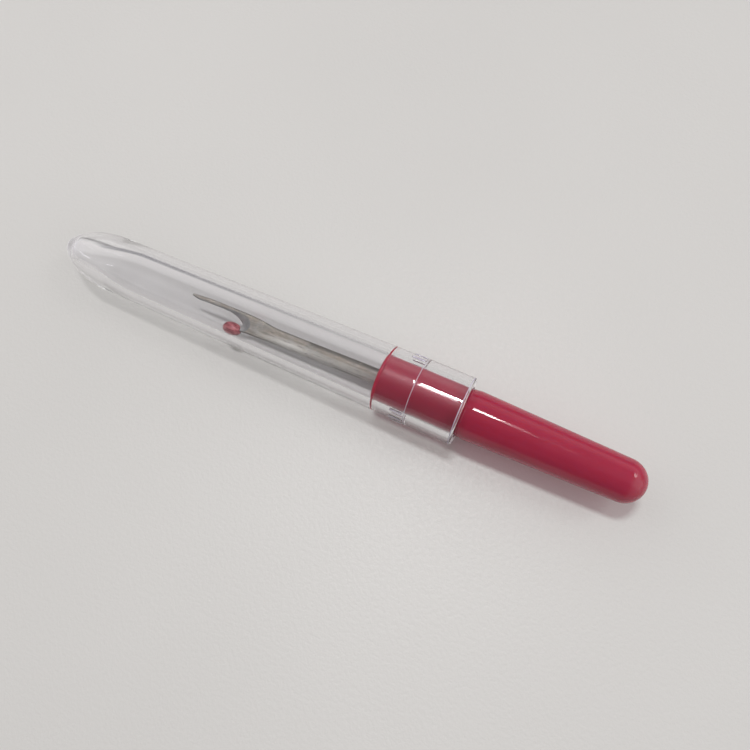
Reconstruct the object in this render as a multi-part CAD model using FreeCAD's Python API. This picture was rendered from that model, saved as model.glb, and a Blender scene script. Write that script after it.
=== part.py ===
import FreeCAD, Part
import math
import os

# A pocket seam ripper, capped. One tapered handle holds a forked steel blade with a safety ball
# on its short prong, and a clear cap pushes over the handle's spigot.
#
# Millimetres. +X runs along the tool from the cap's tip to the handle's end, and +Z is up.
# The origin is on the resting surface, under the middle of the tool's length.
# A station is a distance behind the cap's tip along the tool's axis, and a radius is taken from
# that axis. The fork is drawn flat, in stations and sides, where a side is a distance from the
# shaft's own centre line towards the safety ball.

V = FreeCAD.Vector
ALONG = V(1, 0, 0)

OVERALL_LENGTH = 90.0

# clear cap, outside
CAP_MOUTH = 65.0
COLLAR_LENGTH = 6.9
COLLAR_RADIUS = 4.83
COLLAR_STEP = 0.06
CAP_DRAFT = 0.0118
CAP_NOSE_RADIUS = 2.2
CAP_OGIVE_RADIUS = 12.5
MOUTH_ROUND = 0.35

# clear cap, inside
BORE_MOUTH_RADIUS = 3.56
BORE_TIP = 1.75
BORE_NOSE_RADIUS = 1.6
BORE_OGIVE_RADIUS = 45.0
MOUTH_CHAMFER = 0.25

# short raised grip ribs in front of the collar: a group on either side, and one underneath, which
# keeps the tool from rolling; a group is the turn of its first rib from the top, and its number of ribs
RIB_GROUPS = [(-81.0, 3), (63.0, 3), (171.0, 2)]
RIB_PITCH_DEGREES = 18.0
RIB_LENGTH = 1.9
RIB_WIDTH = 0.5
RIB_HEIGHT = 0.094
RIB_GAP_TO_COLLAR = 0.2

# handle
HANDLE_FACE = 52.8
FACE_ROUND = 0.15
SPIGOT_RADIUS = 3.3
SPIGOT_END = 65.2
BEAD_STATION = 53.14
BEAD_HALF_WIDTH = 0.16
BEAD_HEIGHT = 0.08
GRIP_EDGE_RADIUS = 3.42
GRIP_RADIUS = 3.52
GRIP_CROWN_LENGTH = 1.05
GRIP_TAPER = 0.0265

# blade: a round wire, forged flat into a fork
SHAFT_RADIUS = 1.1
SHAFT_FRONT = 35.8
TANG_END = 66.8
FORK_POINT = 22.0
LEAN_PIVOT = 62.3
LEAN_DEGREES = 1.36
ROLL_DEGREES = 16.0
EDGE_DEPTH = 0.45

# safety ball, moulded on the short prong
BALL_STATION = 29.85
BALL_SIDE = 1.3
BALL_HALF_LENGTH = 1.4
BALL_RADIUS = 1.0

HALF_LENGTH = OVERALL_LENGTH / 2
COLLAR_START = CAP_MOUTH - COLLAR_LENGTH
CONE_END_RADIUS = COLLAR_RADIUS - COLLAR_STEP
DOME_NORM = math.hypot(1, GRIP_TAPER)


def at(station, radius):
    """A point of a revolved profile."""
    return V(station - HALF_LENGTH, 0, radius)


def line(start, end):
    return Part.LineSegment(start, end).toShape()


def arc(start, middle, end):
    return Part.Arc(start, middle, end).toShape()


def arc_about(centre, start, end):
    """The short arc about a centre, between two points at the same distance from it."""
    radius = (start - centre).Length
    bisector = (start - centre) + (end - centre)
    bisector.normalize()
    return arc(start, centre + bisector * radius, end)


def revolved(edges):
    """The solid that a closed profile in the XZ plane sweeps about the tool's axis."""
    face = Part.Face(Part.Wire(edges))
    return face.revolve(V(0, 0, 0), ALONG, 360)


def nose_and_ogive(tip, nose_radius, ogive_radius, end_station, end_radius):
    """Nose ball, and the arc that runs from it tangent into a drafted cone.

    Returns the two arcs and the point where the cone begins. The cone passes through
    end_radius at end_station.
    """
    norm = math.hypot(1, CAP_DRAFT)
    nose_station = tip + nose_radius
    gap = ogive_radius - nose_radius
    offset = end_radius + CAP_DRAFT * (nose_station - end_station) - ogive_radius * norm
    root = math.sqrt((offset * CAP_DRAFT) ** 2 - norm**2 * (offset**2 - gap**2))
    reach = (root - offset * CAP_DRAFT) / norm**2
    nose_centre = at(nose_station, 0)
    ogive_centre = at(nose_station + reach, offset + CAP_DRAFT * reach)
    outward = (nose_centre - ogive_centre) * (1 / gap)
    joint = nose_centre + outward * nose_radius
    cone_start = ogive_centre + V(-CAP_DRAFT, 0, 1) * (ogive_radius / norm)
    nose = arc_about(nose_centre, at(tip, 0), joint)
    ogive = arc_about(ogive_centre, joint, cone_start)
    return nose, ogive, cone_start


def grip_rib(angle):
    """One raised rib, standing on the cone just in front of the collar."""
    back = COLLAR_START - RIB_GAP_TO_COLLAR
    middle = back - RIB_LENGTH / 2
    surface = CONE_END_RADIUS - CAP_DRAFT * (COLLAR_START - middle)
    depth = 2 * RIB_HEIGHT
    corner = at(back - RIB_LENGTH, surface - RIB_HEIGHT) - V(0, RIB_WIDTH / 2, 0)
    rib = Part.makeBox(RIB_LENGTH, RIB_WIDTH, depth, corner)
    rising = [edge for edge in rib.Edges if abs(edge.tangentAt(edge.FirstParameter).z) > 0.9]
    rib = rib.makeFillet(0.45 * RIB_WIDTH, rising)
    rib.rotate(V(0, 0, 0), ALONG, angle)
    return rib


def clear_cap():
    """Thick-walled bullet-tipped cap with a cylindrical collar at its mouth."""
    nose, ogive, cone_start = nose_and_ogive(
        0, CAP_NOSE_RADIUS, CAP_OGIVE_RADIUS, COLLAR_START, CONE_END_RADIUS
    )
    bore_nose, bore_ogive, bore_start = nose_and_ogive(
        BORE_TIP, BORE_NOSE_RADIUS, BORE_OGIVE_RADIUS, CAP_MOUTH, BORE_MOUTH_RADIUS
    )
    cone_end = at(COLLAR_START, CONE_END_RADIUS)
    collar_front = at(COLLAR_START + COLLAR_STEP, COLLAR_RADIUS)
    collar_back = at(CAP_MOUTH - MOUTH_ROUND, COLLAR_RADIUS)
    round_centre = collar_back - V(0, 0, MOUTH_ROUND)
    mouth_outer = round_centre + V(MOUTH_ROUND, 0, 0)
    mouth_inner = at(CAP_MOUTH, BORE_MOUTH_RADIUS + MOUTH_CHAMFER)
    chamfer_station = CAP_MOUTH - MOUTH_CHAMFER
    chamfer_end = at(chamfer_station, BORE_MOUTH_RADIUS - CAP_DRAFT * MOUTH_CHAMFER)
    shell = revolved([
        nose,
        ogive,
        line(cone_start, cone_end),
        line(cone_end, collar_front),
        line(collar_front, collar_back),
        arc_about(round_centre, collar_back, mouth_outer),
        line(mouth_outer, mouth_inner),
        line(mouth_inner, chamfer_end),
        line(chamfer_end, bore_start),
        bore_ogive,
        bore_nose,
        line(at(BORE_TIP, 0), at(0, 0)),
    ])
    ribs = []
    for first, count in RIB_GROUPS:
        for place in range(count):
            ribs.append(grip_rib(first + RIB_PITCH_DEGREES * place))
    return shell.fuse(ribs).removeSplitter()


def handle_blank():
    """Handle without its socket: face, spigot with a sealing bead, and tapered grip."""
    face_edge = at(HANDLE_FACE, SPIGOT_RADIUS - FACE_ROUND)
    round_centre = at(HANDLE_FACE + FACE_ROUND, SPIGOT_RADIUS - FACE_ROUND)
    spigot_front = round_centre + V(0, 0, FACE_ROUND)
    bead_front = at(BEAD_STATION - BEAD_HALF_WIDTH, SPIGOT_RADIUS)
    bead_top = at(BEAD_STATION, SPIGOT_RADIUS + BEAD_HEIGHT)
    bead_back = at(BEAD_STATION + BEAD_HALF_WIDTH, SPIGOT_RADIUS)
    spigot_back = at(SPIGOT_END, SPIGOT_RADIUS)
    grip_edge = at(SPIGOT_END, GRIP_EDGE_RADIUS)
    crown_station = SPIGOT_END + GRIP_CROWN_LENGTH
    crown = at(crown_station, GRIP_RADIUS)
    crown_middle = at(crown_station - GRIP_CROWN_LENGTH / 2, GRIP_RADIUS - 0.02)
    taper_reach = OVERALL_LENGTH - crown_station
    dome_radius = (GRIP_RADIUS - GRIP_TAPER * taper_reach) / (DOME_NORM - GRIP_TAPER)
    dome_centre = at(OVERALL_LENGTH - dome_radius, 0)
    dome_start = dome_centre + V(GRIP_TAPER, 0, 1) * (dome_radius / DOME_NORM)
    return revolved([
        line(at(HANDLE_FACE, 0), face_edge),
        arc_about(round_centre, face_edge, spigot_front),
        line(spigot_front, bead_front),
        arc(bead_front, bead_top, bead_back),
        line(bead_back, spigot_back),
        line(spigot_back, grip_edge),
        arc(grip_edge, crown_middle, crown),
        line(crown, dome_start),
        arc_about(dome_centre, dome_start, at(OVERALL_LENGTH, 0)),
        line(at(OVERALL_LENGTH, 0), at(HANDLE_FACE, 0)),
    ])


def flat(station, side, height=0.0):
    """A point of the fork, drawn flat: the safety ball is towards -Y."""
    return V(station - HALF_LENGTH, -side, height)


def curve(points):
    spline = Part.BSplineCurve()
    spline.interpolate(points)
    return spline.toShape()


def laid_in_place(shape):
    """Leans the flat-drawn blade in the handle and rolls it about the tool's axis."""
    shape.rotate(flat(LEAN_PIVOT, 0), V(0, 0, 1), LEAN_DEGREES)
    shape.rotate(V(0, 0, 0), ALONG, ROLL_DEGREES)
    return shape


def fork_plate():
    """Outline of both prongs with the crotch still filled, as a thick plate."""
    point = flat(FORK_POINT, -1.42)
    blunt = flat(FORK_POINT, -1.24)
    outer_start = flat(25.7, -1.63)
    outer_end = flat(32.3, -1.54)
    upper_root = flat(36.5, -1.07)
    upper_tail = flat(37.9, -0.78)
    lower_tail = flat(37.9, 0.78)
    lower_root = flat(36.5, 1.07)
    prong_outer = flat(31.55, 1.25)
    prong_end_outer = flat(29.6, 1.52)
    prong_end = flat(29.2, 1.28)
    prong_end_inner = flat(29.5, 1.02)
    spear_corner = flat(23.4, -0.89)
    outline = [
        curve([point, flat(23.6, -1.54), outer_start]),
        line(outer_start, outer_end),
        curve([outer_end, flat(34.1, -1.37), flat(35.6, -1.17), upper_root]),
        line(upper_root, upper_tail),
        line(upper_tail, lower_tail),
        line(lower_tail, lower_root),
        curve([lower_root, flat(34.4, 1.18), prong_outer]),
        line(prong_outer, prong_end_outer),
        arc(prong_end_outer, prong_end, prong_end_inner),
        line(prong_end_inner, spear_corner),
        line(spear_corner, blunt),
        line(blunt, point),
    ]
    half_height = SHAFT_RADIUS + 0.1
    plate = Part.Face(Part.Wire(outline)).extrude(V(0, 0, 2 * half_height))
    plate.translate(V(0, 0, -half_height))
    return plate


def crotch_wire(upper, shoulder, deep, hip, lower, exit_side, height):
    """Closed outline of the gap between the prongs, at one height in the blade.

    It runs along the long prong to upper, round by shoulder, deep and hip to lower, and out
    along the short prong.
    """
    front = FORK_POINT - 2
    upper_front = flat(front, upper[1], height)
    lower_front = flat(front, exit_side + 0.2, height)
    exit_point = flat(29.3, exit_side, height)
    upper_point = flat(*upper, height)
    deep_point = flat(*deep, height)
    lower_point = flat(*lower, height)
    edges = [
        line(upper_front, upper_point),
        arc(upper_point, flat(*shoulder, height), deep_point),
        arc(deep_point, flat(*hip, height), lower_point),
        line(lower_point, exit_point),
        line(exit_point, lower_front),
        line(lower_front, upper_front),
    ]
    return Part.Wire(edges)


def crotch_cutter():
    """Double-bevelled gap: narrow at the blade's middle plane, wide at both faces."""
    sharp = crotch_wire(
        (28.4, -0.92), (30.4, -0.56), (31.65, 0.05), (31.45, 0.36), (30.9, 0.56), 0.98, 0
    )
    face = crotch_wire(
        (30.1, -1.13), (32.15, -0.83), (33.0, -0.05), (32.6, 0.42), (31.7, 0.7), 1.02, EDGE_DEPTH
    )
    bevel = Part.makeLoft([sharp, face], True, True)
    above = Part.Face(face).extrude(V(0, 0, SHAFT_RADIUS))
    upper = bevel.fuse(above)
    lower = upper.mirror(V(0, 0, 0), V(0, 0, 1))
    return upper.fuse(lower)


def forged_profile():
    """Side view of the blade, as a wide slab: thin at the point, round-wire thick at the shaft."""
    outline = [
        (FORK_POINT - 0.1, 0.04),
        (23.9, 0.2),
        (28.3, 0.33),
        (32.9, 0.45),
        (35.8, 0.55),
        (38.3, 0.8),
        (41.3, 1.12),
    ]
    half_width = 3.0
    top = [flat(station, half_width, height) for station, height in outline]
    bottom = [flat(station, half_width, -height) for station, height in reversed(outline)]
    tail_top = flat(TANG_END, half_width, SHAFT_RADIUS + 0.02)
    tail_bottom = flat(TANG_END, half_width, -SHAFT_RADIUS - 0.02)
    edges = [
        curve(top),
        line(top[-1], tail_top),
        line(tail_top, tail_bottom),
        line(tail_bottom, bottom[0]),
        curve(bottom),
        line(bottom[-1], top[0]),
    ]
    return Part.Face(Part.Wire(edges)).extrude(V(0, 2 * half_width, 0))


def blade_flat():
    """Shaft, tang and fork as one steel piece, still drawn flat."""
    shaft_length = TANG_END - SHAFT_FRONT
    shaft = Part.makeCylinder(SHAFT_RADIUS, shaft_length, flat(SHAFT_FRONT, 0), ALONG)
    tang_edge = [edge for edge in shaft.Edges if edge.CenterOfMass.x > TANG_END - HALF_LENGTH - 0.01]
    shaft = shaft.makeChamfer(0.3, tang_edge)
    fork = fork_plate().cut(crotch_cutter())
    return fork.fuse(shaft).common(forged_profile()).removeSplitter()


def ball_flat():
    """Egg-shaped safety ball, still drawn flat and without its prong hole."""
    stretch = FreeCAD.Matrix()
    stretch.scale(BALL_HALF_LENGTH, BALL_RADIUS, BALL_RADIUS)
    ball = Part.makeSphere(1).transformGeometry(stretch)
    ball.translate(flat(BALL_STATION, BALL_SIDE))
    return ball


def export(node, shape):
    """Lifts a finished piece onto the resting surface and writes its file."""
    placed = shape.copy()
    placed.translate(V(0, 0, COLLAR_RADIUS))
    if len(placed.Solids) != 1 or not placed.isValid():
        raise RuntimeError(node + " is not one valid solid")
    placed.Solids[0].exportStep(os.path.join("parts", node + ".step"))


def main():
    os.makedirs("parts", exist_ok=True)
    blade = laid_in_place(blade_flat())
    export("blade", blade)
    export("handle", handle_blank().cut(blade))
    export("safety_ball", laid_in_place(ball_flat()).cut(blade))
    export("clear_cap", clear_cap())


main()
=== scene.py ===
import math

import bmesh
import bpy
from mathutils import Matrix, Vector, kdtree, noise
from mathutils.geometry import delaunay_2d_cdt


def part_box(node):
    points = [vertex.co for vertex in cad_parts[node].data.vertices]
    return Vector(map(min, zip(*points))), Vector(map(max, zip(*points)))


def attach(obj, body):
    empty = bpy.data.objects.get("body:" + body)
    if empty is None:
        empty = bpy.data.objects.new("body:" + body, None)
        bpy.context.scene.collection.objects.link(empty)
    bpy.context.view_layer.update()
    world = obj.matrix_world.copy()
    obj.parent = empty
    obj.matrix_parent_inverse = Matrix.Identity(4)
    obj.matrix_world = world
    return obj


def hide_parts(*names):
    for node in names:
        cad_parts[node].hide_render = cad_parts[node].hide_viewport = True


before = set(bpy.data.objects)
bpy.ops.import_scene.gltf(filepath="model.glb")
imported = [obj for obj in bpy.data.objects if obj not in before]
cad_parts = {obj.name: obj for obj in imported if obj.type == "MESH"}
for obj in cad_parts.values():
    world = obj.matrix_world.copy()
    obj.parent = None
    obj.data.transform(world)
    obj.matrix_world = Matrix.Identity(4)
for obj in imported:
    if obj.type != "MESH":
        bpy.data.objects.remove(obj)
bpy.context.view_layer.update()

# A capped seam ripper lying on a pale table. Sizes below are in millimetres unless a name says
# otherwise. A station is a distance behind the cap's tip, and a radius is taken from the tool's
# axis, which runs along +X at AXIS_HEIGHT above the table.

MM = 0.001

cap_low, cap_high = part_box("clear_cap")
handle_low, handle_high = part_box("handle")
TIP_X = cap_low.x
AXIS_HEIGHT = (cap_low.z + cap_high.z) / 2
COLLAR_RADIUS = (cap_high.z - cap_low.z) / 2 / MM
CAP_MOUTH = (cap_high.x - TIP_X) / MM
HANDLE_FACE = (handle_low.x - TIP_X) / MM
HANDLE_END = (handle_high.x - TIP_X) / MM

# clear cap
NOSE_RADIUS = 2.2
OGIVE_RADIUS = 12.5
CAP_DRAFT = 0.0118
COLLAR_START = 58.1
COLLAR_STEP = 0.06
STEP_GROOVE = 0.03
CONE_END_RADIUS = COLLAR_RADIUS - COLLAR_STEP
BORE_TIP = 1.75
BORE_NOSE_RADIUS = 1.6
BORE_OGIVE_RADIUS = 45.0
BORE_MOUTH_RADIUS = 3.56
MOUTH_ROUND = 0.35
MOUTH_INNER_ROUND = 0.2

# raised ribs in front of the cap's collar
RIB_LENGTH = 1.9
RIB_WIDTH = 0.5
RIB_HEIGHT = 0.085
RIB_EDGE = 0.09
RIB_BACK = COLLAR_START - 0.2
RIB_FRONT = RIB_BACK - RIB_LENGTH
RIB_ANGLES = [9, 27, 45, 153, 171, 189, 261, 279]
RIB_MARGIN = 1.15
RIB_HALF_COLUMNS = 5
COLUMN_DEGREES = 2.0

# material slots of the cap and of the blade
OUTSIDE, BORE, FROSTED = range(3)
FORGED, GROUND = range(2)

# handle
FACE_ROUND = 0.15
SPIGOT_RADIUS = 3.3
SPIGOT_END = 65.2
BEAD_START = 52.98
BEAD_END = 53.3
BEAD_PRESS = 0.02
GRIP_EDGE_RADIUS = 3.42
GRIP_RADIUS = 3.52
GRIP_CROWN_STATION = 66.25
GRIP_TAPER = 0.0265
HANDLE_COLUMNS = 192

# blade, drawn flat in stations and sides; a side is positive towards the safety ball
LEAN_PIVOT = 62.3
LEAN = math.radians(1.36)
ROLL = math.radians(16.0)
SHAFT_RADIUS = 1.1
SHAFT_ROUND_STATION = 36.8
TANG_START = 42
TANG_END = 66.8
HALF_THICKNESS = [
    (22.0, 0.08), (23.9, 0.2), (28.3, 0.33), (32.9, 0.45), (35.8, 0.56), (38.3, 0.82), (41.5, 1.1)
]
EDGE_ROUNDING = [(22.0, 0.12), (24.5, 0.2), (34.0, 0.34), (36.5, 0.55), (41.5, 1.1)]

# blade mesh: a grid of points over the fork, and a spine of points along the shaft's middle.
# Behind the grid the spine is alone, so the shaft's section there is a diamond and not round.
GRID_START = 22.4
GRID_END = 41.5
GRID_HALF_ROWS = 12
GRID_SPACING = 0.14
SPINE_START = 36.5
SPINE_SPACING = 0.4
BORDER_CLEARANCE = 0.09

# how closely the blade's edges are divided where distances from them are measured
FORGED_SPACING = 0.02
GROUND_PARTS = 5

# safety ball
BALL_STATION = 29.85
BALL_SIDE = 1.3
BALL_RADIUS = 1.01
BALL_HALF_LENGTH = 1.4
BALL_RINGS = 40
BALL_COLUMNS = 64

# stage, in metres
TABLE_SIZE = 1.6
LAMP_DISTANCE = 1.0
CAMERA_DISTANCE = 0.09795

# colours, as linear red, green and blue
CRIMSON = (0.335, 0.020, 0.056)
CRIMSON_FLOW = (0.365, 0.025, 0.064)
CRIMSON_GLOW = (0.43, 0.24, 0.30)
BALL_DARK = (0.19, 0.016, 0.028)
BALL_PALE = (0.50, 0.15, 0.17)
STEEL_DARK = (0.235, 0.222, 0.205)
STEEL_PALE = (0.325, 0.31, 0.29)
STEEL_BRONZE = (0.32, 0.27, 0.225)
# painted shade for the steel's steep sides
STEEL_PAINTED_SIDE_SHADE = (0.07, 0.062, 0.055)
# painted light for the shaft's near side
STEEL_PAINTED_NEAR_LIGHT = (0.82, 0.80, 0.77)
# painted shade for the steel's far side
STEEL_PAINTED_FAR_SHADE = (0.15, 0.135, 0.12)
STEEL_FLECKS = (0.50, 0.43, 0.35)
STEEL_STREAKS = (0.17, 0.155, 0.14)
BEVEL_DARK = (0.22, 0.217, 0.222)
BEVEL_PALE = (0.34, 0.335, 0.335)
CLEAR = (0.985, 0.98, 0.995)
CLEAR_TIP = (0.76, 0.74, 0.84)
WALL_SHADE = (0.58, 0.55, 0.55)
BORE_TINT = (0.975, 0.975, 0.975)
# painted shade: colour of the grey line along the bore's far edge
BORE_PAINTED_LINE = (0.10, 0.10, 0.13)
FROST_DARK = (0.50, 0.46, 0.58)
FROST_PALE = (0.72, 0.68, 0.80)
FROST_TINT = (0.8, 0.8, 0.8)
TABLE_DARK = (0.585, 0.572, 0.560)
TABLE_PALE = (0.61, 0.597, 0.585)
ROOM_WHITE = (1.0, 0.985, 0.97)

# how much lamp light the cap's wall lets through, from face on (0) to edge on (1)
WALL_TINT = [
    (0.0, 0.9), (0.22, 0.89), (0.32, 0.79), (0.52, 0.76), (0.66, 0.77), (0.78, 0.74), (0.9, 0.64)
]


# ---------------------------------------------------------------- mesh helpers


def station_x(station):
    """The row frame's X of a station."""
    return TIP_X + station * MM


def place(station, y, z):
    """A point given in tool millimetres, in the row frame."""
    return Vector((station_x(station), y * MM, AXIS_HEIGHT + z * MM))


def add_mesh(name, bm, body, nodes, materials):
    """Turns a bmesh into a smooth-shaded piece that rides on a body and replaces CAD nodes."""
    bmesh.ops.recalc_face_normals(bm, faces=bm.faces)
    mesh = bpy.data.meshes.new(name)
    bm.to_mesh(mesh)
    bm.free()
    mesh.shade_smooth()
    for material in materials:
        mesh.materials.append(material)
    piece = bpy.data.objects.new(name, mesh)
    bpy.context.scene.collection.objects.link(piece)
    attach(piece, body)
    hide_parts(*nodes)


def smoothstep(low, high, value):
    """0 up to low and 1 from high on, with a smooth rise between them."""
    t = min(1.0, max(0.0, (value - low) / (high - low)))
    return t * t * (3 - 2 * t)


def table_value(knots, value):
    """Value at a position, on straight lines between (position, value) knots."""
    if value <= knots[0][0]:
        return knots[0][1]
    for (low, low_value), (high, high_value) in zip(knots, knots[1:]):
        if value <= high:
            t = (value - low) / (high - low)
            return low_value + (high_value - low_value) * t
    return knots[-1][1]


def even_angles(count):
    """Angles once round the axis, in radians."""
    return [2 * math.pi * index / count for index in range(count)]


def even_steps(start, end, spacing):
    """Numbers from start to end, both included, about spacing apart."""
    count = int((end - start) / spacing)
    return [start + (end - start) * step / count for step in range(count + 1)]


def arc_points(centre, radius, start, end, count):
    """Points of a profile arc. Angles are in degrees: 0 points to the handle, 90 outward."""
    points = []
    for index in range(count):
        angle = math.radians(start + (end - start) * index / (count - 1))
        points.append((centre[0] + radius * math.cos(angle), centre[1] + radius * math.sin(angle)))
    return points


def line_points(start, end, count):
    """Evenly spaced points from start up to, but not including, end."""
    return [
        (start[0] + (end[0] - start[0]) * i / count, start[1] + (end[1] - start[1]) * i / count)
        for i in range(count)
    ]


def nose_and_ogive(tip, nose_radius, ogive_radius, end_station, end_radius):
    """Profile from the tip round a nose ball and along an ogive, up to where the cone begins."""
    norm = math.hypot(1, CAP_DRAFT)
    nose_station = tip + nose_radius
    gap = ogive_radius - nose_radius
    offset = end_radius + CAP_DRAFT * (nose_station - end_station) - ogive_radius * norm
    root = math.sqrt((offset * CAP_DRAFT) ** 2 - norm**2 * (offset**2 - gap**2))
    reach = (root - offset * CAP_DRAFT) / norm**2
    centre = (nose_station + reach, offset + CAP_DRAFT * reach)
    joint = math.degrees(math.atan2(-centre[1], nose_station - centre[0]))
    end = 90 + math.degrees(math.atan(CAP_DRAFT))
    nose = arc_points((nose_station, 0), nose_radius, 180, joint, 16)
    ogive = arc_points(centre, ogive_radius, joint, end, 44)
    return nose + ogive[1:]


def smooth_curve(points, spacing):
    """Catmull-Rom curve through points of any dimension, up to and with the last one."""
    vectors = [Vector(point) for point in points]
    padded = [2 * vectors[0] - vectors[1], *vectors, 2 * vectors[-1] - vectors[-2]]
    curve = []
    for before, start, end, after in zip(padded, padded[1:], padded[2:], padded[3:]):
        steps = max(1, round((end - start).length / spacing))
        for step in range(steps):
            t = step / steps
            linear = (end - before) * t
            square = (2 * before - 5 * start + 4 * end - after) * t * t
            cube = (3 * start - before - 3 * end + after) * t**3
            curve.append(start + (linear + square + cube) / 2)
    curve.append(vectors[-1])
    return curve


def join_rings(bm, first, second):
    """Fills the band between two rings of vertices. One of the rings may be a single vertex."""
    faces = []
    count = max(len(first), len(second))
    for i in range(count):
        j = (i + 1) % count
        if len(first) == 1:
            corners = (first[0], second[i], second[j])
        elif len(second) == 1:
            corners = (first[i], second[0], first[j])
        else:
            corners = (first[i], second[i], second[j], first[j])
        faces.append(bm.faces.new(corners))
    return faces


def lathe(bm, rows, angles, bulge=None):
    """Sweeps a profile about the tool's axis and returns its bands of faces, row by row.

    A row of radius 0 closes the surface in a point. bulge(station, radius, angle) may add to
    a row's radius.
    """
    rings = []
    for station, radius in rows:
        if radius < 1e-9:
            rings.append([bm.verts.new(place(station, 0, 0))])
            continue
        ring = []
        for angle in angles:
            full = radius + (bulge(station, radius, angle) if bulge else 0)
            point = place(station, full * math.cos(angle), full * math.sin(angle))
            ring.append(bm.verts.new(point))
        rings.append(ring)
    return [join_rings(bm, first, second) for first, second in zip(rings, rings[1:])]


def flat_tree(points):
    """A search tree over points of the flat drawing."""
    tree = kdtree.KDTree(len(points))
    for i, point in enumerate(points):
        tree.insert((point.x, point.y, 0), i)
    tree.balance()
    return tree


# ---------------------------------------------------------------- node helpers


class Nodes:
    """A material with its node tree, and short ways to add nodes to it."""

    def __init__(self, name):
        self.material = bpy.data.materials.new(name)
        self.material.use_nodes = True
        self.tree = self.material.node_tree
        self.tree.nodes.clear()
        self.output = self.add("ShaderNodeOutputMaterial")
        texture_coordinates = self.add("ShaderNodeTexCoord")
        self.coords = texture_coordinates.outputs["Object"]
        self.normals = texture_coordinates.outputs["Normal"]

    def add(self, kind, **settings):
        node = self.tree.nodes.new(kind)
        for key, value in settings.items():
            setattr(node, key, value)
        return node

    def link(self, source, target):
        self.tree.links.new(source, target)

    def set_or_link(self, socket, value):
        """Sets a number, a vector or an opaque colour on a socket, or links a socket to it."""
        if isinstance(value, tuple):
            socket.default_value = (*value, 1) if socket.type == "RGBA" else value
        elif isinstance(value, (int, float)):
            socket.default_value = value
        else:
            self.link(value, socket)

    def show(self, shader):
        """Puts a shader on the surface."""
        self.link(shader, self.output.inputs["Surface"])

    def axes(self):
        """Object coordinates as X, Y and Z sockets: the row frame's at rest, in metres."""
        node = self.add("ShaderNodeSeparateXYZ")
        self.link(self.coords, node.inputs["Vector"])
        return node.outputs

    def steepness(self):
        """0 where a ray meets the surface face on, rising to 1 where it grazes it."""
        node = self.add("ShaderNodeLayerWeight")
        node.inputs["Blend"].default_value = 0.5
        return node.outputs["Facing"]

    def stretched(self, scale):
        """Object coordinates, scaled along each axis."""
        node = self.add("ShaderNodeMapping")
        node.inputs["Scale"].default_value = scale
        self.link(self.coords, node.inputs["Vector"])
        return node.outputs["Vector"]

    def noise(self, scale, detail=3.0, roughness=0.5, vector=None):
        node = self.add("ShaderNodeTexNoise")
        node.inputs["Scale"].default_value = scale
        node.inputs["Detail"].default_value = detail
        node.inputs["Roughness"].default_value = roughness
        self.link(vector or self.coords, node.inputs["Vector"])
        return node.outputs["Fac"]

    def remap(self, value, low, high, new_low, new_high):
        node = self.add("ShaderNodeMapRange")
        node.inputs["From Min"].default_value = low
        node.inputs["From Max"].default_value = high
        node.inputs["To Min"].default_value = new_low
        node.inputs["To Max"].default_value = new_high
        self.link(value, node.inputs["Value"])
        return node.outputs["Result"]

    def grey_ramp(self, value, stops):
        """A colour ramp of greys through (position, grey) stops."""
        node = self.add("ShaderNodeValToRGB")
        elements = node.color_ramp.elements
        while len(elements) < len(stops):
            elements.new(0.5)
        for element, (position, grey) in zip(elements, stops):
            element.position = position
            element.color = (grey, grey, grey, 1)
        self.link(value, node.inputs["Fac"])
        return node.outputs["Color"]

    def math(self, operation, *values):
        node = self.add("ShaderNodeMath", operation=operation)
        for socket, value in zip(node.inputs, values):
            self.set_or_link(socket, value)
        return node.outputs["Value"]

    def mix_colour(self, factor, first, second):
        node = self.add("ShaderNodeMix", data_type="RGBA")
        self.link(factor, node.inputs["Factor"])
        self.set_or_link(node.inputs[6], first)
        self.set_or_link(node.inputs[7], second)
        return node.outputs[2]

    def bump(self, height, distance, normal=None):
        node = self.add("ShaderNodeBump")
        node.inputs["Strength"].default_value = 1.0
        node.inputs["Distance"].default_value = distance
        self.link(height, node.inputs["Height"])
        if normal:
            self.link(normal, node.inputs["Normal"])
        return node.outputs["Normal"]

    def plain_shader(self, kind, colour):
        """A Diffuse or Transparent shader."""
        node = self.add(kind)
        self.set_or_link(node.inputs["Color"], colour)
        return node.outputs["BSDF"]

    def principled(self, **values):
        """A Principled shader. A tuple or number is set on its socket, and a socket is linked."""
        node = self.add("ShaderNodeBsdfPrincipled")
        for key, value in values.items():
            self.set_or_link(node.inputs[key.replace("_", " ")], value)
        return node.outputs["BSDF"]

    def mix_shaders(self, factor, first, second):
        node = self.add("ShaderNodeMixShader")
        self.link(factor, node.inputs["Fac"])
        self.link(first, node.inputs[1])
        self.link(second, node.inputs[2])
        return node.outputs["Shader"]


# ---------------------------------------------------------------- materials


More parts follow.
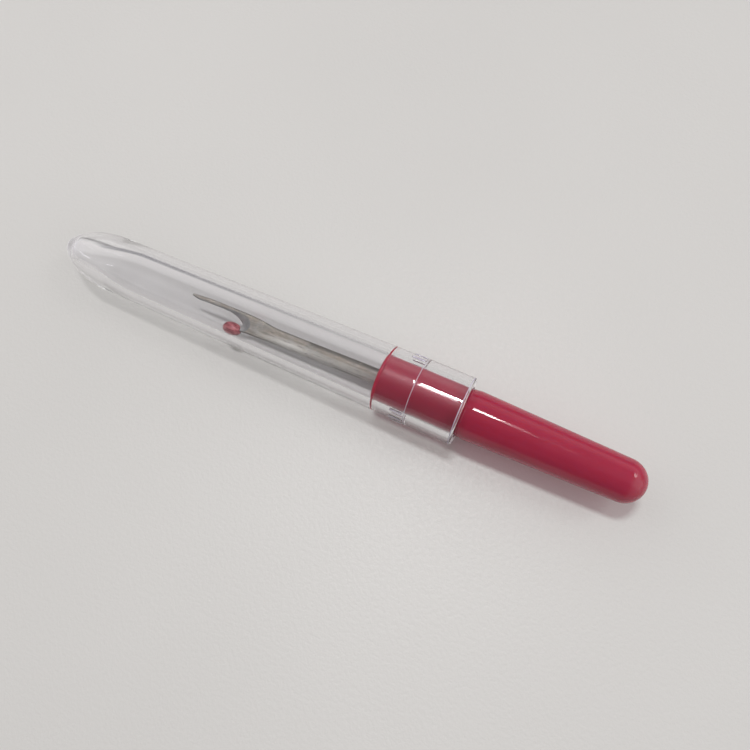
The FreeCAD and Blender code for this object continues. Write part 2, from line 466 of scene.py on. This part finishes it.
def crimson_plastic():
    """Moulded crimson plastic with flow marks and fine scratches: glossy grip and satin spigot.

    It passes a little red light to the table in its shadow.
    """
    n = Nodes("crimson_plastic")
    flow = n.noise(1.0, 4.0, 0.55, n.stretched((90, 420, 420)))
    scratches = n.noise(1.0, 2.0, 0.6, n.stretched((140, 5200, 5200)))
    scratch_mask = n.remap(scratches, 0.62, 0.75, 0, 1)
    smudge = n.remap(n.noise(260, 4.0, 0.6), 0.3, 0.7, 0.07, 0.13)
    roughness = n.math("ADD", smudge, n.math("MULTIPLY", scratch_mask, 0.12))
    x = n.axes()["X"]
    shoulder = station_x(SPIGOT_END)
    satin = n.remap(x, shoulder - 0.2 * MM, shoulder, 0.26, 0.0)
    peel = n.bump(n.noise(1700, 2.0, 0.5), 0.000006)
    plastic = n.principled(
        Base_Color=n.mix_colour(n.remap(flow, 0.35, 0.65, 0, 1), CRIMSON, CRIMSON_FLOW),
        Roughness=n.math("ADD", roughness, satin),
        IOR=1.47,
        Specular_IOR_Level=n.remap(x, shoulder - 0.2 * MM, shoulder, 0.2, 0.5),
        Subsurface_Weight=0.8,
        Subsurface_Radius=(1.0, 0.25, 0.2),
        Subsurface_Scale=0.003,
        Normal=n.bump(scratch_mask, -0.000004, normal=peel),
    )
    glow = n.plain_shader("ShaderNodeBsdfTransparent", CRIMSON_GLOW)
    path = n.add("ShaderNodeLightPath")
    n.show(n.mix_shaders(path.outputs["Is Shadow Ray"], plastic, glow))
    return n.material


def dipped_red():
    """Semi-gloss red of the dipped safety ball: streaky, with a slightly lumpy skin."""
    n = Nodes("dipped_red")
    streaks = n.noise(1.0, 4.0, 0.6, n.stretched((300, 2400, 2400)))
    lumps = n.noise(1500, 3.0, 0.55)
    red = n.principled(
        Base_Color=n.mix_colour(n.remap(streaks, 0.40, 0.62, 0, 1), BALL_DARK, BALL_PALE),
        Roughness=n.remap(lumps, 0.3, 0.7, 0.26, 0.42),
        IOR=1.5,
        Normal=n.bump(lumps, 0.00003),
    )
    n.show(red)
    return n.material


def forged_steel():
    """Forged and tumbled steel: mottled grey scale with bronze patches over a pitted skin.

    It has painted shade where it is steep, painted light on the shaft's near side and painted
    shade on the far side, and is marked with bright flecks and dark streaks.
    """
    n = Nodes("forged_steel")
    mottle = n.noise(1.0, 5.0, 0.65, n.stretched((1100, 2600, 2600)))
    patches = n.noise(420, 3.0, 0.5)
    flecks = n.noise(1.0, 2.0, 0.5, n.stretched((1900, 3400, 3400)))
    pits = n.noise(3600, 3.0, 0.6)
    streaks = n.noise(1.0, 3.0, 0.6, n.stretched((260, 4200, 4200)))
    flat_up = n.add("ShaderNodeVectorMath", operation="DOT_PRODUCT")
    n.link(n.normals, flat_up.inputs[0])
    flat_up.inputs[1].default_value = (0, -math.sin(ROLL), math.cos(ROLL))
    flatness = n.math("ABSOLUTE", flat_up.outputs["Value"])
    axes = n.axes()
    edge_y = SHAFT_RADIUS * MM
    # painted light: the shaft's near side, towards -Y, is made paler; on_shaft keeps it off most
    # of the fork
    near_side_painted_light = n.remap(axes["Y"], -0.4 * edge_y, -edge_y, 0.0, 0.8)
    on_shaft = n.remap(axes["X"], station_x(33), station_x(39), 0.1, 1.0)
    # painted shade: the steel's far side, towards +Y, is made darker
    far_side_painted_shade = n.remap(axes["Y"], 0.3 * edge_y, edge_y, 0.0, 0.36)
    colour = n.mix_colour(n.remap(mottle, 0.38, 0.64, 0, 1), STEEL_DARK, STEEL_PALE)
    colour = n.mix_colour(n.remap(patches, 0.42, 0.66, 0, 0.7), colour, STEEL_BRONZE)
    # painted shade: darker where the surface turns away from the blade's flat faces
    colour = n.mix_colour(n.remap(flatness, 0.3, 0.7, 0.72, 0), colour, STEEL_PAINTED_SIDE_SHADE)
    colour = n.mix_colour(n.math("MULTIPLY", near_side_painted_light, on_shaft), colour, STEEL_PAINTED_NEAR_LIGHT)
    colour = n.mix_colour(far_side_painted_shade, colour, STEEL_PAINTED_FAR_SHADE)
    colour = n.mix_colour(n.remap(flecks, 0.6, 0.7, 0, 0.5), colour, STEEL_FLECKS)
    colour = n.mix_colour(n.remap(streaks, 0.52, 0.66, 0, 0.6), colour, STEEL_STREAKS)
    steel = n.principled(
        Base_Color=colour,
        Metallic=0.35,
        Roughness=n.remap(mottle, 0.3, 0.7, 0.8, 0.68),
        Normal=n.bump(streaks, 0.00002, normal=n.bump(pits, 0.00004)),
    )
    n.show(steel)
    return n.material


def ground_edge():
    """Ground bevel of the cutting crotch: bare steel with fine grinding lines."""
    n = Nodes("ground_edge")
    lines = n.noise(1.0, 2.0, 0.5, n.stretched((900, 9000, 900)))
    stain = n.noise(900, 3.0, 0.5)
    bevel = n.principled(
        Base_Color=n.mix_colour(n.remap(stain, 0.35, 0.65, 0, 1), BEVEL_DARK, BEVEL_PALE),
        Metallic=0.5,
        Roughness=n.remap(lines, 0.3, 0.7, 0.42, 0.56),
        Normal=n.bump(lines, 0.00001),
    )
    n.show(bevel)
    return n.material


def show_glass(n, glass, tint):
    """Shows glass to the eye, and lets other rays straight through with a tint.

    Those are shadow rays, scattered light, and rays trapped in the wall by many reflections.
    """
    through = n.plain_shader("ShaderNodeBsdfTransparent", tint)
    path = n.add("ShaderNodeLightPath").outputs
    scattered = n.math("MAXIMUM", path["Is Shadow Ray"], path["Is Diffuse Ray"])
    trapped = n.math("GREATER_THAN", path["Glossy Depth"], 2.5)
    n.show(n.mix_shaders(n.math("MAXIMUM", scattered, trapped), glass, through))


def clear_surface(n):
    """Clear moulded plastic with faint haze and worn hairlines. It is lavender at the tip."""
    hairlines = n.noise(1.0, 2.0, 0.6, n.stretched((160, 6000, 6000)))
    hairline_mask = n.remap(hairlines, 0.64, 0.76, 0, 1)
    haze = n.remap(n.noise(300, 4.0, 0.6), 0.4, 0.75, 0.0, 0.02)
    behind_tip = n.remap(n.axes()["X"], TIP_X, station_x(2.2), 0, 1)
    return n.principled(
        Base_Color=n.mix_colour(behind_tip, CLEAR_TIP, CLEAR),
        Roughness=n.math("ADD", haze, n.math("MULTIPLY", hairline_mask, 0.04)),
        IOR=1.58,
        Transmission_Weight=1.0,
        Normal=n.bump(hairline_mask, -0.000001),
    )


def clear_plastic():
    """Outside of the cap. The shadow of its wall is darker where a lamp's ray meets it steeply."""
    n = Nodes("clear_plastic")
    glass = clear_surface(n)
    steepness = n.steepness()
    x = n.axes()["X"]
    face = station_x(HANDLE_FACE)
    steep = n.remap(steepness, 0.28, 0.36, 0, 1)
    towards_handle = n.remap(x, station_x(20), face, 0, 0.3)
    over_handle = n.remap(x, face, face + 0.6 * MM, 0, 0.5)
    shade = n.math("MULTIPLY", steep, n.math("ADD", towards_handle, over_handle))
    show_glass(n, glass, n.mix_colour(shade, n.grey_ramp(steepness, WALL_TINT), WALL_SHADE))
    return n.material


def clear_bore():
    """Inside of the cap, with a fine painted grey line where its far side turns light away.

    The line is faint round the nose, fades towards the handle and stops at its face.
    """
    n = Nodes("clear_bore")
    glass = clear_surface(n)
    steepness = n.steepness()
    axes = n.axes()
    # painted shade: a grey diffuse line mixed into the glass along the bore's far edge
    rise = n.remap(steepness, 0.17, 0.19, 0, 1)
    fall = n.remap(steepness, 0.215, 0.235, 1, 0)
    far_side = n.math("GREATER_THAN", axes["Y"], 0.0)
    inside_wall = n.add("ShaderNodeNewGeometry").outputs["Backfacing"]
    where = n.math("MULTIPLY", far_side, inside_wall)
    line = n.math("MULTIPLY", n.math("MULTIPLY", rise, fall), where)
    face = station_x(HANDLE_FACE)
    past_nose = n.remap(axes["X"], station_x(5), station_x(10), 0.08, 1.0)
    fading = n.remap(axes["X"], station_x(14), station_x(46), 0.58, 0.2)
    before_handle = n.remap(axes["X"], face + 0.2 * MM, face + 1.2 * MM, 1, 0)
    strength = n.math("MULTIPLY", n.math("MULTIPLY", fading, past_nose), before_handle)
    grey = n.plain_shader("ShaderNodeBsdfDiffuse", BORE_PAINTED_LINE)
    glass_with_painted_line = n.mix_shaders(n.math("MULTIPLY", line, strength), glass, grey)
    show_glass(n, glass_with_painted_line, BORE_TINT)
    return n.material


def frosted_edge():
    """Frosted parts of the cap: its ribs, the collar's step and the edges of the mouth."""
    n = Nodes("frosted_edge")
    sparkle = n.noise(5200, 2.0, 0.6)
    frost = n.principled(
        Base_Color=n.mix_colour(n.remap(sparkle, 0.3, 0.7, 0, 1), FROST_DARK, FROST_PALE),
        Roughness=0.42,
        IOR=1.58,
        Transmission_Weight=0.4,
        Normal=n.bump(sparkle, 0.00001),
    )
    show_glass(n, frost, FROST_TINT)
    return n.material


def table_top():
    """Pale satin table with a very fine grain."""
    n = Nodes("table_top")
    cloud = n.noise(14, 3.0, 0.5)
    grain = n.noise(1900, 3.0, 0.6)
    satin = n.principled(
        Base_Color=n.mix_colour(n.remap(cloud, 0.3, 0.7, 0, 1), TABLE_DARK, TABLE_PALE),
        Roughness=n.remap(grain, 0.3, 0.7, 0.38, 0.5),
        IOR=1.45,
        Normal=n.bump(grain, 0.00004),
    )
    n.show(satin)
    return n.material


# ---------------------------------------------------------------- cap


def cap_angles():
    """Columns of the cap: closely spaced across each rib, wider between ribs."""
    half = math.degrees(RIB_WIDTH / 2 / CONE_END_RADIUS)
    angles = set()
    for centre in RIB_ANGLES:
        for step in range(-RIB_HALF_COLUMNS, RIB_HALF_COLUMNS + 1):
            angles.add(round(centre + half * RIB_MARGIN * step / RIB_HALF_COLUMNS, 6))
    ordered = sorted(angles)
    filled = []
    for first, second in zip(ordered, ordered[1:] + [ordered[0] + 360]):
        gap = second - first
        parts = max(1, round(gap / COLUMN_DEGREES))
        filled += [first + gap * part / parts for part in range(parts)]
    return [math.radians(angle) for angle in filled]


def rib_bulge(station, radius, angle):
    """Height of the raised ribs above the cone. It is 0 in the bore and away from the ribs."""
    along = smoothstep(RIB_FRONT, RIB_FRONT + RIB_EDGE, station)
    along *= 1 - smoothstep(RIB_BACK - RIB_EDGE, RIB_BACK, station)
    in_bore = radius < BORE_MOUTH_RADIUS + 0.3
    if along == 0 or in_bore:
        return 0
    degrees = math.degrees(angle) % 360
    nearest = min(abs((degrees - centre + 180) % 360 - 180) for centre in RIB_ANGLES)
    aside = math.radians(nearest) * radius
    across = 1 - smoothstep(RIB_WIDTH / 2 - RIB_EDGE, RIB_WIDTH / 2, aside)
    return RIB_HEIGHT * along * across


def cone_point(station):
    """Point of the cap's drafted outside."""
    return (station, CONE_END_RADIUS - CAP_DRAFT * (COLLAR_START - station))


def in_slot(points, slot, frosted=()):
    """Adds to each point the slot of the band after it. frosted numbers the frosted ones."""
    return [(*point, FROSTED if i in frosted else slot) for i, point in enumerate(points)]


def outer_rows():
    """The cap's outside, from its tip to the start of the mouth's edge."""
    nose = nose_and_ogive(0, NOSE_RADIUS, OGIVE_RADIUS, COLLAR_START, CONE_END_RADIUS)
    cone_start = nose.pop()
    ribs_start = cone_point(RIB_FRONT - 0.1)
    ribs_end = cone_point(RIB_BACK + 0.05)
    step = [
        ribs_end,
        cone_point(COLLAR_START - 0.09),
        (COLLAR_START - 0.05, CONE_END_RADIUS - STEP_GROOVE * 0.6),
        (COLLAR_START - 0.01, CONE_END_RADIUS - STEP_GROOVE),
        (COLLAR_START + 0.02, CONE_END_RADIUS - STEP_GROOVE * 0.5),
        (COLLAR_START + 0.05, COLLAR_RADIUS - 0.02),
        (COLLAR_START + 0.09, COLLAR_RADIUS - 0.004),
    ]
    collar_start = (COLLAR_START + 0.13, COLLAR_RADIUS)
    collar = line_points(collar_start, (CAP_MOUTH - MOUTH_ROUND, COLLAR_RADIUS), 8)
    rows = in_slot(nose, OUTSIDE)
    rows += in_slot(line_points(cone_start, ribs_start, 30), OUTSIDE)
    rows += in_slot(line_points(ribs_start, ribs_end, 50), OUTSIDE)
    rows += in_slot(step, OUTSIDE, frosted=(2, 3, 4))
    rows += in_slot(collar, OUTSIDE)
    return rows


def mouth_rows():
    """The mouth: its rounded outer edge, the flat rim and the rounded inner edge."""
    inner = MOUTH_INNER_ROUND
    outer_centre = (CAP_MOUTH - MOUTH_ROUND, COLLAR_RADIUS - MOUTH_ROUND)
    inner_centre = (CAP_MOUTH - inner, BORE_MOUTH_RADIUS + inner)
    rim_start = (CAP_MOUTH, COLLAR_RADIUS - MOUTH_ROUND - 0.03)
    outer_edge = arc_points(outer_centre, MOUTH_ROUND, 90, 0, 12)
    rim = line_points(rim_start, (CAP_MOUTH, inner_centre[1]), 3)
    inner_edge = arc_points(inner_centre, inner, 0, -90, 8)
    rows = in_slot(outer_edge, OUTSIDE, frosted=(0, 1, 2, 10, 11))
    rows += in_slot(rim, OUTSIDE)
    rows += in_slot(inner_edge, OUTSIDE, frosted=(4, 5))
    return rows


def bore_rows():
    """The bore, from the mouth's inner edge back to its tip."""
    mouth = (CAP_MOUTH - MOUTH_INNER_ROUND, BORE_MOUTH_RADIUS)
    nose = nose_and_ogive(
        BORE_TIP, BORE_NOSE_RADIUS, BORE_OGIVE_RADIUS, CAP_MOUTH, BORE_MOUTH_RADIUS
    )
    return in_slot(line_points(mouth, nose[-1], 40)[1:] + nose[::-1], BORE)


def clear_cap(outside, inside, frosted):
    """The cap as one closed shell: outer surface, mouth rim, then the bore back to its tip."""
    rows = outer_rows() + mouth_rows() + bore_rows()
    angles = cap_angles()
    bm = bmesh.new()
    bands = lathe(bm, [row[:2] for row in rows], angles, rib_bulge)
    for (station, radius, slot), faces in zip(rows, bands):
        for angle, face in zip(angles, faces):
            on_rib = rib_bulge(station, radius, angle) > RIB_HEIGHT / 2
            face.material_index = FROSTED if on_rib else slot
    materials = [outside, inside, frosted]
    add_mesh("clear_cap_shell", bm, "cap", ["clear_cap"], materials)


# ---------------------------------------------------------------- handle


def grip_radius(station):
    """Radius of the tapered grip behind its crown."""
    return GRIP_RADIUS - GRIP_TAPER * (station - GRIP_CROWN_STATION)


def spigot_rows():
    """The handle's slightly dished face, then the spigot with its sealing bead."""
    bead_radius = BORE_MOUTH_RADIUS - CAP_DRAFT * (CAP_MOUTH - BEAD_END) + BEAD_PRESS
    round_centre = (HANDLE_FACE + FACE_ROUND, SPIGOT_RADIUS - FACE_ROUND)
    rows = [
        (HANDLE_FACE + 0.06, 0),
        (HANDLE_FACE + 0.05, 1.0),
        (HANDLE_FACE + 0.03, 2.0),
        (HANDLE_FACE, 2.7),
    ]
    rows += arc_points(round_centre, FACE_ROUND, 180, 95, 10)
    rows += [
        (BEAD_START - 0.01, SPIGOT_RADIUS + 0.01),
        (BEAD_START + 0.01, bead_radius - 0.05),
        (BEAD_START + 0.04, bead_radius - 0.01),
        (BEAD_START + 0.08, bead_radius),
        (BEAD_END - 0.08, bead_radius),
        (BEAD_END - 0.04, bead_radius - 0.01),
        (BEAD_END - 0.01, bead_radius - 0.05),
        (BEAD_END + 0.01, SPIGOT_RADIUS + 0.02),
        (BEAD_END + 0.05, SPIGOT_RADIUS + 0.003),
    ]
    rows += line_points((BEAD_END + 0.12, SPIGOT_RADIUS), (SPIGOT_END - 0.1, SPIGOT_RADIUS), 12)
    return rows


def grip_rows():
    """The shoulder with its crown, the tapered grip and the domed end."""
    norm = math.hypot(1, GRIP_TAPER)
    dome_radius = grip_radius(HANDLE_END) / (norm - GRIP_TAPER)
    dome_centre = (HANDLE_END - dome_radius, 0)
    dome_start = dome_centre[0] + GRIP_TAPER * dome_radius / norm
    dome_tilt = 90 - math.degrees(math.atan(GRIP_TAPER))
    rows = [
        (SPIGOT_END - 0.1, SPIGOT_RADIUS),
        (SPIGOT_END - 0.04, SPIGOT_RADIUS + 0.02),
        (SPIGOT_END - 0.01, GRIP_EDGE_RADIUS - 0.05),
        (SPIGOT_END + 0.02, GRIP_EDGE_RADIUS - 0.012),
        (SPIGOT_END + 0.06, GRIP_EDGE_RADIUS),
        (SPIGOT_END + 0.45, GRIP_EDGE_RADIUS + 0.01),
        (SPIGOT_END + 0.55, GRIP_EDGE_RADIUS + 0.022),
        (SPIGOT_END + 0.80, GRIP_EDGE_RADIUS + 0.072),
        (SPIGOT_END + 0.92, GRIP_RADIUS - 0.008),
    ]
    crown = (GRIP_CROWN_STATION, GRIP_RADIUS)
    rows += line_points(crown, (dome_start, grip_radius(dome_start)), 40)
    rows += arc_points(dome_centre, dome_radius, dome_tilt, 0, 40)[:-1]
    rows += [(HANDLE_END, 0)]
    return rows


def handle(material):
    """The handle as one turned shape, from its face in the cap to its domed end."""
    bm = bmesh.new()
    lathe(bm, spigot_rows() + grip_rows(), even_angles(HANDLE_COLUMNS))
    add_mesh("handle_body", bm, "tool", ["handle"], [material])


# ---------------------------------------------------------------- blade and ball


def blade_point(station, side, height):
    """A point of the flat-drawn blade, leaned and rolled into its place in the handle."""
    along = station - LEAN_PIVOT
    leaned_station = LEAN_PIVOT + along * math.cos(LEAN) + side * math.sin(LEAN)
    leaned_y = along * math.sin(LEAN) - side * math.cos(LEAN)
    y = leaned_y * math.cos(ROLL) - height * math.sin(ROLL)
    z = leaned_y * math.sin(ROLL) + height * math.cos(ROLL)
    return place(leaned_station, y, z)


def ground_edge_curve():
    """Sharp inner edge, from the spear's corner to the short prong.

    A point is its station, its side and the width of the ground bevel there.
    """
    points = [
        (23.3, -0.89, 0.14),
        (25.6, -0.94, 0.17),
        (27.7, -0.94, 0.22),
        (28.9, -0.86, 0.36),
        (29.8, -0.66, 0.58),
        (30.5, -0.36, 0.85),
        (30.95, -0.06, 1.15),
        (31.15, 0.18, 1.35),
        (31.1, 0.4, 1.0),
        (30.8, 0.56, 0.6),
        (30.2, 0.74, 0.25),
        (29.5, 0.95, 0.12),
    ]
    return smooth_curve(points, 0.08)


def forged_edge_curves():
    """Outer edge: short prong and its side of the shaft, tang's end, then the long prong."""
    shaft_ball_side = (SHAFT_ROUND_STATION, SHAFT_RADIUS)
    tang_ball_side = (TANG_START, SHAFT_RADIUS)
    end_ball_side = (TANG_END, SHAFT_RADIUS)
    end_far_side = (TANG_END, -SHAFT_RADIUS)
    tang_far_side = (TANG_START, -SHAFT_RADIUS)
    shaft_far_side = (SHAFT_ROUND_STATION, -SHAFT_RADIUS)
    short_prong = [(29.6, 1.5), (30.6, 1.37), (31.8, 1.24), (34.4, 1.17)]
    long_prong = [(35.6, -1.18), (34.1, -1.38), (32.3, -1.54), (29.0, -1.6), (25.7, -1.63)]
    long_prong += [(23.6, -1.53), (22.0, -1.42)]
    curves = [
        smooth_curve([(29.5, 0.95), (29.25, 1.2), (29.6, 1.5)], 0.06),
        smooth_curve([*short_prong, shaft_ball_side], 0.12),
        smooth_curve([shaft_ball_side, tang_ball_side], 0.2),
        smooth_curve([tang_ball_side, end_ball_side], 0.8),
        smooth_curve([end_ball_side, end_far_side], 0.2),
        smooth_curve([end_far_side, tang_far_side], 0.8),
        smooth_curve([tang_far_side, shaft_far_side], 0.2),
        smooth_curve([shaft_far_side, *long_prong], 0.12),
        smooth_curve([(22.0, -1.42), (22.0, -1.24)], 0.04),
        smooth_curve([(22.0, -1.24), (22.6, -1.06), (23.3, -0.89)], 0.08),
    ]
    return [point for curve in curves for point in curve[:-1]]


def dense_edges(ground_line, forged_line):
    """Both edges as closely spaced points, so that the nearest one gives the distance."""
    ground = []
    for start, end in zip(ground_line, ground_line[1:]):
        ground += [start.lerp(end, step / GROUND_PARTS) for step in range(GROUND_PARTS)]
    ground.append(ground_line[-1])
    forged = []
    for start, end in zip(forged_line, forged_line[1:] + [ground_line[0].to_2d()]):
        steps = max(1, round((end - start).length / FORGED_SPACING))
        forged += [start.lerp(end, step / steps) for step in range(steps)]
    return ground, forged


def inner_points(border):
    """Points of the spine and the grid. One that comes too close to the border is left out."""
    spine = even_steps(SPINE_START, TANG_END - 1, SPINE_SPACING)
    points = [Vector((station, 0)) for station in spine]
    grid = even_steps(GRID_START, GRID_END, GRID_SPACING)
    for row in range(-GRID_HALF_ROWS, GRID_HALF_ROWS):
        side = row * GRID_SPACING + 0.03
        points += [Vector((station, side)) for station in grid]
    return [point for point in points if border.find((point.x, point.y, 0))[2] > BORDER_CLEARANCE]


def blade_heights(points, forged, ground):
    """Half-thickness of the blade at flat points, and how far each lies across the bevel.

    That reach is 0 on the sharp edge and 1 where the bevel ends.
    """
    forged_tree = flat_tree(forged)
    ground_tree = flat_tree(ground)
    heights = []
    for point in points:
        flat = Vector((point.x, point.y, 0))
        thickness = table_value(HALF_THICKNESS, point.x)
        rounding = table_value(EDGE_ROUNDING, point.x)
        depth = min(1.0, forged_tree.find(flat)[2] / rounding)
        height = thickness * math.sqrt(max(0.0, 1 - (1 - depth) ** 2))
        index, ground_distance = ground_tree.find(flat)[1:]
        reach = ground_distance / ground[index].z
        if reach < 1.3:
            bevel = thickness * reach
            blend = 0.06 * thickness
            height = (height + bevel - math.hypot(height - bevel, blend)) / 2 + blend * 0.12
        heights.append((max(0.0, height), reach))
    return heights


def blade_vertices(bm, points, heights, rim):
    """Vertices of the blade's two faces. They meet along the rim and have slight dents."""
    upper = []
    lower = []
    for index, (point, (height, reach)) in enumerate(zip(points, heights)):
        if index in rim:
            vertex = bm.verts.new(blade_point(point.x, point.y, 0))
            upper.append(vertex)
            lower.append(vertex)
            continue
        waves = noise.noise(Vector((point.x * 1.7, point.y * 2.3, 0.5)))
        dent = 0.012 * waves * min(1, height * 4)
        upper.append(bm.verts.new(blade_point(point.x, point.y, height + dent)))
        lower.append(bm.verts.new(blade_point(point.x, point.y, -height - dent)))
    return upper, lower


def forged_blade(steel, edge):
    """The blade, drawn flat: a forged plate with soft edges that swells into the shaft.

    Its outline is filled with points, each is lifted by the local half-thickness, and the
    other face mirrors it. The crotch has a ground bevel down to a sharp edge.
    """
    ground_line = ground_edge_curve()
    forged_line = forged_edge_curves()
    ground, forged = dense_edges(ground_line, forged_line)
    outline = [point.to_2d() for point in ground_line[:-1]] + forged_line
    inner = inner_points(flat_tree(forged + ground))
    found = delaunay_2d_cdt(outline + inner, [], [list(range(len(outline)))], 1, 1e-5)
    points, faces, sources = found[0], found[2], found[3]
    rim = {i for i, source in enumerate(sources) if any(index < len(outline) for index in source)}
    heights = blade_heights(points, forged, ground)
    bm = bmesh.new()
    upper, lower = blade_vertices(bm, points, heights, rim)
    for face in faces:
        if rim.issuperset(face):
            continue
        reach = sum(heights[index][1] for index in face) / len(face)
        for side in (upper, lower):
            made = bm.faces.new([side[index] for index in face])
            made.material_index = GROUND if reach < 1.0 else FORGED
    loose = [vertex for vertex in bm.verts if not vertex.link_faces]
    bmesh.ops.delete(bm, geom=loose, context="VERTS")
    add_mesh("forged_blade", bm, "tool", ["blade"], [steel, edge])


def ball_ring(bm, along, swell):
    """One ring of the ball, at a part of its half-length from the middle, with a lumpy skin."""
    ring = []
    for turn in even_angles(BALL_COLUMNS):
        direction = Vector((along, swell * math.cos(turn), swell * math.sin(turn)))
        lump = 1 - 0.03 * max(0.0, noise.noise(direction * 1.9 + Vector((3.1, 0.4, 7.7))) + 0.3)
        point = blade_point(
            BALL_STATION + BALL_HALF_LENGTH * along * lump,
            BALL_SIDE + BALL_RADIUS * swell * math.cos(turn) * lump,
            BALL_RADIUS * swell * math.sin(turn) * lump,
        )
        ring.append(bm.verts.new(point))
    return ring


def safety_ball(material):
    """Dipped safety ball: an egg with a blunter end towards the handle."""
    bm = bmesh.new()
    rings = []
    for i in range(1, BALL_RINGS):
        angle = math.pi * i / BALL_RINGS
        along = -math.cos(angle)
        bluntness = 0.72 if along > 0 else 0.95
        rings.append(ball_ring(bm, along, math.sin(angle) ** bluntness))
    pole_reach = BALL_HALF_LENGTH * 0.985
    front = bm.verts.new(blade_point(BALL_STATION - pole_reach, BALL_SIDE, 0))
    back = bm.verts.new(blade_point(BALL_STATION + pole_reach, BALL_SIDE, 0))
    rings = [[front], *rings, [back]]
    for first, second in zip(rings, rings[1:]):
        join_rings(bm, first, second)
    add_mesh("safety_ball_bead", bm, "tool", ["safety_ball"], [material])


# ---------------------------------------------------------------- stage


def table(material):
    """Large table top, tilted by the cap's draft so that the cap's underside lies on it."""
    bm = bmesh.new()
    bmesh.ops.create_grid(bm, x_segments=2, y_segments=2, size=TABLE_SIZE / 2)
    mesh = bpy.data.meshes.new("table_top")
    bm.to_mesh(mesh)
    bm.free()
    mesh.materials.append(material)
    floor = bpy.data.objects.new("table_top", mesh)
    bpy.context.scene.collection.objects.link(floor)
    floor.rotation_euler = (0, math.atan(CAP_DRAFT), 0)
    floor.location = place(COLLAR_START, 0, -COLLAR_RADIUS)


def area_light(name, across, along, width, length, power):
    """A soft panel aimed at the tool. across and along are degrees it leans to +Y and to +X."""
    lamp = bpy.data.lights.new(name, "AREA")
    lamp.shape = "RECTANGLE"
    lamp.size = length
    lamp.size_y = width
    lamp.energy = power
    light = bpy.data.objects.new(name, lamp)
    bpy.context.scene.collection.objects.link(light)
    level = math.cos(math.radians(along))
    away = Vector((
        math.sin(math.radians(along)),
        level * math.sin(math.radians(across)),
        level * math.cos(math.radians(across)),
    ))
    light.location = place(45, 0, 0) + away * LAMP_DISTANCE
    side = (Vector((1, 0, 0)) - away * away.x).normalized()
    light.rotation_euler = Matrix((side, away.cross(side), away)).transposed().to_euler()


def room_light():
    """Soft room: pale end walls, a bright far wall over a dark skirting, a dim near side."""
    world = bpy.data.worlds.new("soft_room")
    world.use_nodes = True
    tree = world.node_tree
    coords = tree.nodes.new("ShaderNodeTexCoord")
    split = tree.nodes.new("ShaderNodeSeparateXYZ")
    tree.links.new(coords.outputs["Generated"], split.inputs["Vector"])

    def ramp(source, low, high, new_low, new_high):
        node = tree.nodes.new("ShaderNodeMapRange")
        node.interpolation_type = "SMOOTHSTEP"
        values = (low, high, new_low, new_high)
        for name, value in zip(("From Min", "From Max", "To Min", "To Max"), values):
            node.inputs[name].default_value = value
        tree.links.new(source, node.inputs["Value"])
        return node.outputs["Result"]

    def combine(operation, *sources):
        node = tree.nodes.new("ShaderNodeMath")
        node.operation = operation
        for source, socket in zip(sources, node.inputs):
            tree.links.new(source, socket)
        return node.outputs["Value"]

    x, y, z = split.outputs
    far_wall = ramp(y, 0.55, 0.92, 0.32, 0.85)
    end_walls = ramp(combine("ABSOLUTE", x), 0.3, 0.8, 0.0, 1.0)
    near_side = ramp(y, -0.60, -0.10, 0.46, 1.0)
    skirting = combine("MAXIMUM", ramp(z, 0.18, 0.40, 0.22, 1.0), ramp(y, 0.20, 0.60, 1.0, 0.0))
    walls = combine("ADD", far_wall, end_walls)
    level = combine("MULTIPLY", walls, combine("MULTIPLY", near_side, skirting))
    background = tree.nodes["Background"]
    background.inputs["Color"].default_value = (*ROOM_WHITE, 1)
    tree.links.new(level, background.inputs["Strength"])
    bpy.context.scene.world = world


def lights():
    area_light("ceiling_panel", across=11.8, along=-3.4, width=0.105, length=0.215, power=4.1)
    area_light("far_window", across=33, along=35, width=0.25, length=0.25, power=1.0)
    room_light()


def camera():
    """Looks down at the middle of the tool, over its near side and a little from the handle."""
    across = math.radians(16)
    along = math.radians(12)
    roll = math.radians(-12.88)
    target = place(51.8, -0.129, 0)
    level = math.cos(along)
    back = Vector((math.sin(along), -level * math.sin(across), level * math.cos(across)))
    data = bpy.data.cameras.new("camera")
    data.sensor_width = 36
    data.lens = 34.08
    data.clip_start = 0.002
    data.clip_end = 20
    eye = bpy.data.objects.new("camera", data)
    bpy.context.scene.collection.objects.link(eye)
    eye.location = target + back * CAMERA_DISTANCE
    aim = back.to_track_quat("Z", "Y").to_matrix()
    eye.rotation_euler = (aim @ Matrix.Rotation(roll, 3, "Z")).to_euler()
    bpy.context.scene.camera = eye


camera()
lights()
table(table_top())
clear_cap(clear_plastic(), clear_bore(), frosted_edge())
handle(crimson_plastic())
forged_blade(forged_steel(), ground_edge())
safety_ball(dipped_red())
bpy.context.scene.view_settings.view_transform = "Standard"
